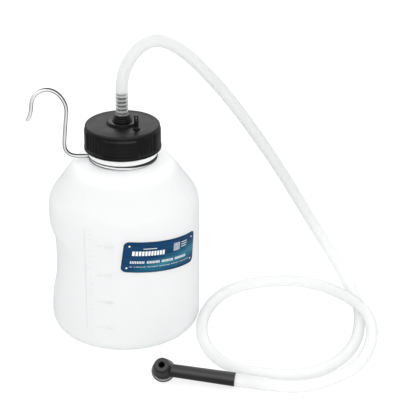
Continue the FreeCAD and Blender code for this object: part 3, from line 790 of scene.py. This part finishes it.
def level_number(text, level):
    azimuth, sunk, drop = -13.3, 0.1, 1.5     # start of the text; its foot is drop below level

    def on_body(x, y, h):
        angle = math.radians(FRONT + azimuth) + x / BODY_R
        r = BODY_R - sunk + h
        return (r * math.cos(angle), r * math.sin(angle), level - drop + y)

    return wrapped(flat_text(text, size=4.6), 0.32, on_body)


numbers = merge([level_number(text, z) for text, z in LEVELS.items()])
add_mesh("moulded_numbers", numbers, M_MARK_PAINTED_SHADE, "bottle", sharp=40)

# ---------------------------------------------------------------------------
# label, drawn in mm from its centre: x to the right, y up
# ---------------------------------------------------------------------------
LABEL_AZ, LABEL_Z, LABEL_TILT = math.radians(303.5), 91.5, math.radians(6.8)
HALF_W, HALF_H = LABEL_W / 2, LABEL_H / 2
FILM_GAP, FILM_THICK = 0.01, 0.14
INK_H, INK_THICK = FILM_GAP + FILM_THICK, 0.03


def on_label(x, y, h):
    """Point of the label, h above the bottle's wall."""
    c, s = math.cos(LABEL_TILT), math.sin(LABEL_TILT)
    across = x * c + y * s
    up = -x * s + y * c
    angle = LABEL_AZ + math.asin(across / BODY_R)
    r = BODY_R + h
    return (r * math.cos(angle), r * math.sin(angle), LABEL_Z + up)


def rounded_rect(x0, y0, x1, y1, r, seg=6):
    points = []
    for cx, cy, start in ((x1 - r, y1 - r, 0), (x0 + r, y1 - r, 90),
                          (x0 + r, y0 + r, 180), (x1 - r, y0 + r, 270)):
        for k in range(seg + 1):
            angle = math.radians(start + 90 * k / seg)
            points.append((cx + r * math.cos(angle), cy + r * math.sin(angle)))
    return points


label_uv = []


def on_film(x, y, h):
    """Point of the film; also notes its place on the print, 0 to 1 each way."""
    label_uv.append(((x + HALF_W) / LABEL_W, (y + HALF_H) / LABEL_H))
    return on_label(x, y, h + FILM_GAP)


film = flat_polygon(rounded_rect(-HALF_W, -HALF_H, HALF_W, HALF_H, 4.0, 8))
label = add_mesh("label_film", wrapped(film, FILM_THICK, on_film), M_LABEL,
                 "bottle", sharp=40, uv=label_uv)
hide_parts("label")


def art(name, polygons, mat, lift=INK_H):
    """Ink shapes printed on the label."""
    shapes = [wrapped(flat_polygon(points), INK_THICK,
                      lambda x, y, h: on_label(x, y, h + lift)) for points in polygons]
    add_mesh(name, merge(shapes), mat, "bottle", sharp=40)


def dot(x, y, r=0.75, count=14):
    angles = [2 * math.pi * k / count for k in range(count)]
    return [(x + r * math.cos(a), y + r * math.sin(a)) for a in angles]


def bar(x, y, w, h, slant=0.0):
    return [(x, y), (x + w, y), (x + w + slant, y + h), (x + slant, y + h)]


def tick_row():
    """Row of equal upright ticks in four groups."""
    ticks, x = [], -29.3
    for group in (9, 9, 9, 10):
        for _ in range(group):
            ticks.append(bar(x, -5.8, 0.72, 2.3))
            x += 1.32
        x += 1.7
    return ticks


def broken_rule():
    """Row of slanted dashes of uneven length."""
    dashes, x, k = [], -29.6, 0
    while x < 27:
        w = (2.2, 1.1, 3.0, 1.6, 2.4)[k % 5]
        dashes.append(bar(x, -9.3 + 0.05 * (k % 3), w, 0.75, 0.2))
        x += w + (0.55 if k % 4 else 1.3)
        k += 1
    return dashes


art("label_dots", [dot(-31.2, 10.0), dot(31.4, 9.6), dot(-31.4, -10.2), dot(31.2, -10.0)],
    M_INK_WHITE)
# heading: equal upright blocks with a thin rule over them
art("label_blocks", [bar(-28.5 + 2.62 * k, 1.5, 1.95, 4.1) for k in range(11)], M_INK_WHITE)
art("label_rule_top", [bar(-20.0, 7.5, 12.0, 0.6)], M_INK_WHITE)
# panel of small squares and three lines at upper right
art("label_panel", [rounded_rect(9.0, 2.6, 16.2, 9.6, 0.6)], M_INK_GREY)
art("label_panel_marks", [bar(9.9 + 2.0 * i, 3.4 + 2.0 * j, 1.0, 1.0) for i in range(3)
                          for j in range(3) if (i + 2 * j) % 4 != 1],
    M_INK_TEAL, INK_H + INK_THICK)
art("label_lines", [bar(18.0, y, w, 0.55) for y, w in ((8.4, 7.0), (6.4, 7.0), (4.4, 6.0))],
    M_INK_WHITE)
art("label_row", tick_row(), M_INK_WHITE)
art("label_rules", broken_rule(), M_INK_GREY)

# ---------------------------------------------------------------------------
# cap: four smooth raised panels with ribs between them
# ---------------------------------------------------------------------------
CAP_R, CAP_BAND_R, CAP_Z0, CAP_Z1 = 32.0, 33.0, 167.9, 190.4
CAP_INNER_Z = CAP_Z1 - 2.6
FITTING_HOLE_R = 6.16
PANEL_ANGLE, PANEL_HALF = -92.4, 27.0         # degrees: middle of one panel, half its width
PANEL_R, PANEL_TOP_Z = 32.7, 185.6
RIB_STEP, RIB_DEPTH = 7.2, 0.6                # degrees, mm
VENT_AT, VENT_R, VENT_CUT = (12.5, -14.4, 188.6), 1.91, 8

cap_profile = rounded([
    (CAP_BORE_R, CAP_Z0 + 4.0), (CAP_BORE_R, CAP_Z0, 0.4), (CAP_BAND_R, CAP_Z0, 0.6),
    (CAP_BAND_R, 170.6, 0.4), (CAP_R, 171.1, 0.4), (CAP_R, CAP_Z1 - 1.1, 1.8),
    (25.0, CAP_Z1, 6.0), (FITTING_HOLE_R, CAP_Z1, 0.3), (FITTING_HOLE_R, CAP_INNER_Z),
    (CAP_BORE_R, CAP_INNER_Z, 0.8), (CAP_BORE_R, CAP_Z0 + 4.0)], seg=10, step=0.8)[:-1]


def cap_rows():
    columns = 960
    r, z = cap_profile[:, :1], cap_profile[:, 1:]
    # degrees from the middle of the nearest panel
    off = np.abs((np.degrees(turn(columns)) - PANEL_ANGLE + 45.0) % 90.0 - 45.0)[None]
    ribs = np.clip(0.35 + 0.9 * np.cos(2 * math.pi * ((off - 45.0) / RIB_STEP)), 0, 1)
    ribs = ribs * smooth(off, PANEL_HALF - 0.2, PANEL_HALF + 1.2)
    rib_span = smooth(z, 171.6, 172.7) * (1 - smooth(z, 185.9, 187.0))
    panel = 1 - smooth(off, PANEL_HALF - 0.9, PANEL_HALF + 0.1)
    panel_span = smooth(z, 170.2, 171.2) * (1 - smooth(z, PANEL_TOP_Z - 0.9, PANEL_TOP_Z + 0.1))
    on_wall = (r > 31.0) & (z > 171.3) & (z < 188.6)
    shaped = r - RIB_DEPTH * ribs * rib_span + (PANEL_R - CAP_R) * panel * panel_span
    return rings(np.where(on_wall, shaped, r), z[:, 0])


def vent_cutter():
    mesh = bpy.data.meshes.new("vent_hole")
    bm = bmesh.new()
    bmesh.ops.create_cone(bm, cap_ends=True, segments=32, radius1=VENT_R * MM,
                          radius2=VENT_R * MM, depth=VENT_CUT * MM)
    bmesh.ops.translate(bm, verts=bm.verts[:], vec=[c * MM for c in VENT_AT])
    bm.to_mesh(mesh)
    bm.free()
    cutter = bpy.data.objects.new("vent_hole", mesh)
    SCENE.collection.objects.link(cutter)
    return cutter


cap = add_mesh("cap_ribbed", skin(cap_rows(), loop=True), M_CAP, "cap", sharp=48)
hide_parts("cap_shell")
combine(cap, vent_cutter())
thread("cap_thread", wall_r=CAP_BORE_R, start_z=170.1, turns=1.2, count=120, outward=-1,
       mat=M_CAP, body="cap")

# ---------------------------------------------------------------------------
# wire hook: a hook at -x, an arm in to the neck, a bend and a ring round the neck
# ---------------------------------------------------------------------------
RING_R, RING_Z, ARM_Y, BEND_R, WIRE_R = 28.2, 160.0, -1.0, 4.0, 1.6
RING_END = math.radians(525)
# (x, z) from the free tip, over the top and down to the arm
HOOK_POINTS = [(-80.4, 192.4), (-77.7, 198.6), (-76.6, 204.6), (-75.2, 211.8), (-70.1, 217.9),
               (-62.8, 220.4), (-56.0, 218.4), (-50.6, 213.0), (-47.2, 204.4), (-47.8, 193.0),
               (-48.9, 181.6), (-49.7, 171.4), (-48.6, 165.2), (-44.6, 161.3), (-39.4, 160.15)]


def level_arc(centre, radius, start, stop, count):
    """Points along a level arc, without its first point."""
    a = np.linspace(start, stop, count)[1:]
    return np.array(centre) + radius * np.stack([np.cos(a), np.sin(a), 0 * a], 1)


def rounded_rod(path, radius, edge):
    """Path and radii of a rod, with rings that round both cut ends over the length edge."""
    start = path[1] - path[0]
    start /= np.linalg.norm(start)
    stop = path[-1] - path[-2]
    stop /= np.linalg.norm(stop)
    inset = np.array([0.0, 0.15, 0.5, 1.0]) * edge
    taper = np.array([0.55, 0.80, 0.95, 1.0]) * radius
    keep = ((np.linalg.norm(path - path[0], axis=1) > edge * 1.2)
            & (np.linalg.norm(path - path[-1], axis=1) > edge * 1.2))
    first = [path[0] + start * d for d in inset]
    last = [path[-1] - stop * d for d in inset[::-1]]
    return (np.concatenate([first, path[keep], last]),
            np.concatenate([taper, np.full(keep.sum(), radius), taper[::-1]]))


bend_angle = math.pi - math.asin((ARM_Y - BEND_R) / (RING_R + BEND_R))
bend_centre = np.array([(RING_R + BEND_R) * math.cos(bend_angle),
                        (RING_R + BEND_R) * math.sin(bend_angle), RING_Z])
arm_end = bend_centre + np.array([0, BEND_R, 0])
wire_path = np.concatenate([
    spline([(x, ARM_Y, z) for x, z in HOOK_POINTS] + [tuple(arm_end)],
           (0.5, 0, 0.866), (1, 0, 0), 170),
    level_arc(bend_centre, BEND_R, math.pi / 2, bend_angle - math.pi, 14),
    level_arc((0, 0, RING_Z), RING_R, bend_angle, RING_END, 190)])
wire_path, wire_radius = rounded_rod(wire_path, WIRE_R, edge=0.6)
hook = add_mesh("hook_wire", skin(sweep_rows(wire_path, wire_radius, 28, (0, 1, 0))), M_WIRE,
                "hook", sharp=60)
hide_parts("neck_hook")

# ---------------------------------------------------------------------------
# hose: over the cap's barbed fitting, down to the floor, round and onto the adapter's barbs
# ---------------------------------------------------------------------------
HOSE_R, HOSE_BORE_R = 5.0, 3.5
BARB_BORE_R = 4.14                # bore where the hose is stretched over a fitting
HOSE_FOOT_Z, HOSE_FREE_Z = 198.3, 219.0
GRIP_LEN = 30.0                   # straight length at the adapter
# centre line (x, y, z) from the top of the fitting to the straight length at the adapter
HOSE_NODES = [
    (0.00, 0.00, HOSE_FREE_Z), (6.58, 1.76, 244.84), (26.75, 8.12, 260.13),
    (50.89, 12.84, 249.74), (69.32, 18.00, 230.39), (85.06, 25.52, 209.44),
    (99.02, 34.52, 187.82), (112.05, 43.75, 165.71), (124.86, 52.55, 143.31),
    (137.52, 60.23, 120.42), (150.20, 65.90, 96.96), (163.43, 68.24, 73.26),
    (177.51, 65.14, 50.20), (191.55, 54.14, 29.76), (202.99, 35.43, 13.79),
    (208.84, 10.39, 5.75), (207.20, -16.77, 5.42), (202.58, -43.62, 6.11),
    (192.86, -69.00, 6.52), (176.21, -90.46, 5.84), (152.82, -103.82, 5.31),
    (125.76, -105.25, 6.00), (100.07, -96.68, 5.49), (80.64, -77.94, 5.35),
    (69.40, -53.50, 8.37), (67.90, -27.30, 11.89), (73.60, -1.10, 12.20),
    (83.80, 24.00, 10.20), (99.55, 45.72, 7.62), (122.29, 60.25, 5.44),
    (149.09, 63.28, 5.48), (173.77, 52.55, 7.15), (191.25, 32.06, 10.30),
    (203.22, 7.92, 14.37), (211.99, -17.74, 16.59), (215.02, -44.70, 14.88),
    (210.07, -71.19, 11.42), (197.73, -95.20, 8.91), (177.34, -113.02, 7.22),
    (151.79, -122.60, 5.40),
]


def barb_rings(x, first, pitch, count, height):
    """Soft rings where the hose is stretched over each ridge."""
    return sum(height * np.exp(-((x - (first + k * pitch)) / 0.75) ** 2) for k in range(count))


def stretched_bore(x, start, stop):
    return BARB_BORE_R + (HOSE_BORE_R - BARB_BORE_R) * smooth(x, start, stop)


fit_z = np.linspace(HOSE_FOOT_Z, HOSE_FREE_Z, 84)[:-1]
grip = np.linspace(GRIP_LEN, 0.05, 110)[1:]       # distance from the adapter's end
free = spline(HOSE_NODES + [tuple(ADP_END + STEM_AXIS * GRIP_LEN)], (0, 0, 1),
              tuple(-STEM_AXIS), 620)
hose_path = np.concatenate([np.stack([0 * fit_z, 0 * fit_z, fit_z], 1), free,
                            ADP_END + grip[:, None] * STEM_AXIS])
fit_r = (5.18 + 0.42 * np.exp(-((fit_z - HOSE_FOOT_Z) / 1.1) ** 2)
         + barb_rings(fit_z, 199.3, 3.4, 5, 0.16) - 0.18 * smooth(fit_z, 213, HOSE_FREE_Z))
grip_r = (HOSE_R + 0.55 * (1 - smooth(grip, 24.0, GRIP_LEN))
          + barb_rings(grip, 1.6, 3.5, 7, 0.07))
outside_r = np.concatenate([fit_r, np.full(len(free), HOSE_R), grip_r])
bore_r = np.concatenate([stretched_bore(fit_z, 216, HOSE_FREE_Z),
                         np.full(len(free), HOSE_BORE_R), stretched_bore(grip, 27, GRIP_LEN)])
rows = np.concatenate([sweep_rows(hose_path, outside_r, 40, (1, 0, 0)),
                       sweep_rows(hose_path, bore_r, 40, (1, 0, 0))[::-1]])
hose = add_mesh("hose_tube", skin(rows, loop=True), M_HOSE, "fitting", sharp=50)
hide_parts("hose")

# ---------------------------------------------------------------------------
# rubber adapter: stem and cup blended into one skin, joined to a rim, then bored
# Outlines are (r, distance along the axis from ADP_HEAD, corner radius).
# ---------------------------------------------------------------------------
stem_outline = rounded([
    (POLE_R, -2.0), (5.4, -2.0, 1.5), (5.55, 9.0), (5.9, STEM_LEN, 0.7), (POLE_R, STEM_LEN)],
    seg=6, step=1.0)
cup_outline = rounded([
    (POLE_R, -3.6), (7.3, -3.6), (7.6, -1.0, 0.6), (7.2, 7.4, 2.0), (6.8, 10.3, 0.7),
    (6.1, 10.5, 0.3), (5.9, 12.0, 0.7), (POLE_R, 12.0)], seg=6, step=1.0)
rim_outline = rounded([
    (POLE_R, -4.4), (10.2, -4.4, 0.9), (10.2, -2.2, 0.7), (8.6, -2.3, 0.4), (8.25, -0.8, 0.5),
    (POLE_R, -0.8)], seg=8, step=0.8)
cup_bore = np.array([(POLE_R, -1.0), (2.3, -1.0), (2.3, 11.0), (3.0, 12.4), (POLE_R, 12.4)])
stem_bore = np.array([(POLE_R, 0.0), (2.0, 0.0), (2.0, STEM_LEN - 25.0),
                      (3.68, STEM_LEN - 24.5), (3.68, STEM_LEN + 1.5), (POLE_R, STEM_LEN + 1.5)])


def turned(outline, axis, count):
    return skin(place(revolve(outline, count), axis, ADP_HEAD))


adapter = add_mesh("adapter_elbow", merge([turned(stem_outline, STEM_AXIS, 72),
                                           turned(cup_outline, CUP_AXIS, 96)]), M_RUBBER)
remesh = adapter.modifiers.new("skin", "REMESH")
remesh.mode = "VOXEL"
remesh.voxel_size = 0.32 * MM
remesh.use_smooth_shade = True
bake(adapter)
soften = adapter.modifiers.new("soft", "SMOOTH")
soften.factor = 0.5
soften.iterations = 5
bake(adapter)
combine(adapter, add_mesh("rim", turned(rim_outline, CUP_AXIS, 144), M_RUBBER), "UNION")
for bore, bore_axis in ((cup_bore, CUP_AXIS), (stem_bore, STEM_AXIS)):
    combine(adapter, add_mesh("tool", turned(bore, bore_axis, 40)))
dress(adapter.data, M_RUBBER)
adapter.data.polygons.foreach_set("material_index", [0] * len(adapter.data.polygons))
adapter.data.set_sharp_from_angle(angle=math.radians(50))
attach(adapter, "adapter")
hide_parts("bleeder_adapter")

# ---------------------------------------------------------------------------
# valve spring, from the retainer up to the ball
# ---------------------------------------------------------------------------
SPRING_R, SPRING_WIRE_R, SPRING_TURNS = 2.3, 0.28, 4
SPRING_Z, SPRING_LEN = 172.33, 4.03
t = np.linspace(0, 1, SPRING_TURNS * 48 + 1)
angle = 2 * math.pi * SPRING_TURNS * t
coil = np.stack([SPRING_R * np.cos(angle), SPRING_R * np.sin(angle),
                 SPRING_Z + SPRING_LEN * t], 1)
spring = add_mesh("spring_coil", skin(sweep_rows(coil, SPRING_WIRE_R, 14, (0, 0, 1))), M_STEEL,
                  "fitting", sharp=50)
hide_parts("valve_spring")
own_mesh(spring)


# ---------------------------------------------------------------------------
# floor, world, lights and camera
# ---------------------------------------------------------------------------
def floor_material(name):
    """White floor, lifted for the camera and diffuse light and dim in reflections."""
    m = new_material(name)
    n = m.noise(m.coords(), scale=6, detail=2, rough=0.5)
    paint = m.principled(Base_Color=m.ramp(n, [(0.3, grey(0.95)), (0.7, grey(0.965))]),
                         Roughness=0.8, Specular_IOR_Level=0.1)
    glow = m.node("Emission", {"Color": grey(1), "Strength": 1.15})
    dim = m.node("Emission", {"Color": grey(1), "Strength": 0.34})
    ray = m.node("LightPath").outputs
    lift = m.math("ADD", m.scaled(ray["Is Camera Ray"], gain=0.60),
                  m.scaled(ray["Is Diffuse Ray"], gain=0.75), clamp=True)
    return m.finish(m.mix_shader(ray["Is Glossy Ray"], m.mix_shader(lift, paint, glow), dim))


def studio_world(name):
    """Even white surroundings; reflections see grey bands by height instead."""
    world = bpy.data.worlds.new(name)
    SCENE.world = world
    w = Tree(world, "OutputWorld")
    height = w.xyz(w.node("TexCoord").outputs["Generated"])[2]
    height = w.node("MapRange", {"Value": height, "From Min": -1.0, "From Max": 1.0})
    bands = w.node("ValToRGB", {0: height})
    # (0 straight down to 1 straight up, brightness)
    stops = ((0.0, 0.42), (0.5, 0.30), (0.58, 0.16), (0.65, 1.0), (0.72, 1.85), (0.84, 1.35),
             (1.0, 0.8))
    elements = bands.color_ramp.elements
    for position, _ in stops[1:-1]:
        elements.new(position)
    for element, (_, level) in zip(elements, stops):
        element.color = (*grey(level), 1)
    even = w.node("Background", {"Color": grey(1), "Strength": 1.12})
    banded = w.node("Background", {"Color": bands, "Strength": 1.0})
    w.finish(w.mix_shader(w.node("LightPath").outputs["Is Glossy Ray"], even, banded))


def area(name, place, target, size, energy):
    light = bpy.data.lights.new(name, "AREA")
    light.energy = energy
    light.size = size
    obj = bpy.data.objects.new(name, light)
    SCENE.collection.objects.link(obj)
    obj.location = place
    aim = Vector(target) - Vector(place)
    obj.rotation_euler = aim.to_track_quat("-Z", "Y").to_euler()


FLOOR_HALF, FLOOR_Z = 3000.0, -0.02
floor_corners = [(x * FLOOR_HALF, y * FLOOR_HALF, FLOOR_Z)
                 for x, y in ((-1, -1), (1, -1), (1, 1), (-1, 1))]
floor = add_mesh("studio_floor", (floor_corners, [(0, 1, 2, 3)]), floor_material("studio_floor"))

studio_world("studio")
area("key", place=(-0.5, -0.7, 1.0), target=(0.03, 0, 0.08), size=0.9, energy=1.8)
area("fill", place=(0.7, -1.1, 0.5), target=(0.05, 0, 0.07), size=0.9, energy=2.8)
area("front", place=(0.0, -1.5, 0.28), target=(0.04, 0, 0.06), size=0.7, energy=2.2)
area("top", place=(0.05, 0.35, 1.2), target=(0.05, 0, 0.1), size=0.9, energy=0.8)

CAMERA_DIP = 25.04                # degrees the camera looks down
lens = bpy.data.cameras.new("camera")
lens.sensor_width = 36.0
lens.lens = 144.0
lens.clip_end = 50
camera = bpy.data.objects.new("camera", lens)
SCENE.collection.objects.link(camera)
camera.location = (0.06583, -1.25634, 0.70475)
camera.rotation_euler = (math.radians(90 - CAMERA_DIP), 0, 0)
SCENE.camera = camera
SCENE.view_settings.view_transform = "Standard"
SCENE.view_settings.look = "None"
SCENE.cycles.max_bounces = 12
SCENE.cycles.transparent_max_bounces = 16

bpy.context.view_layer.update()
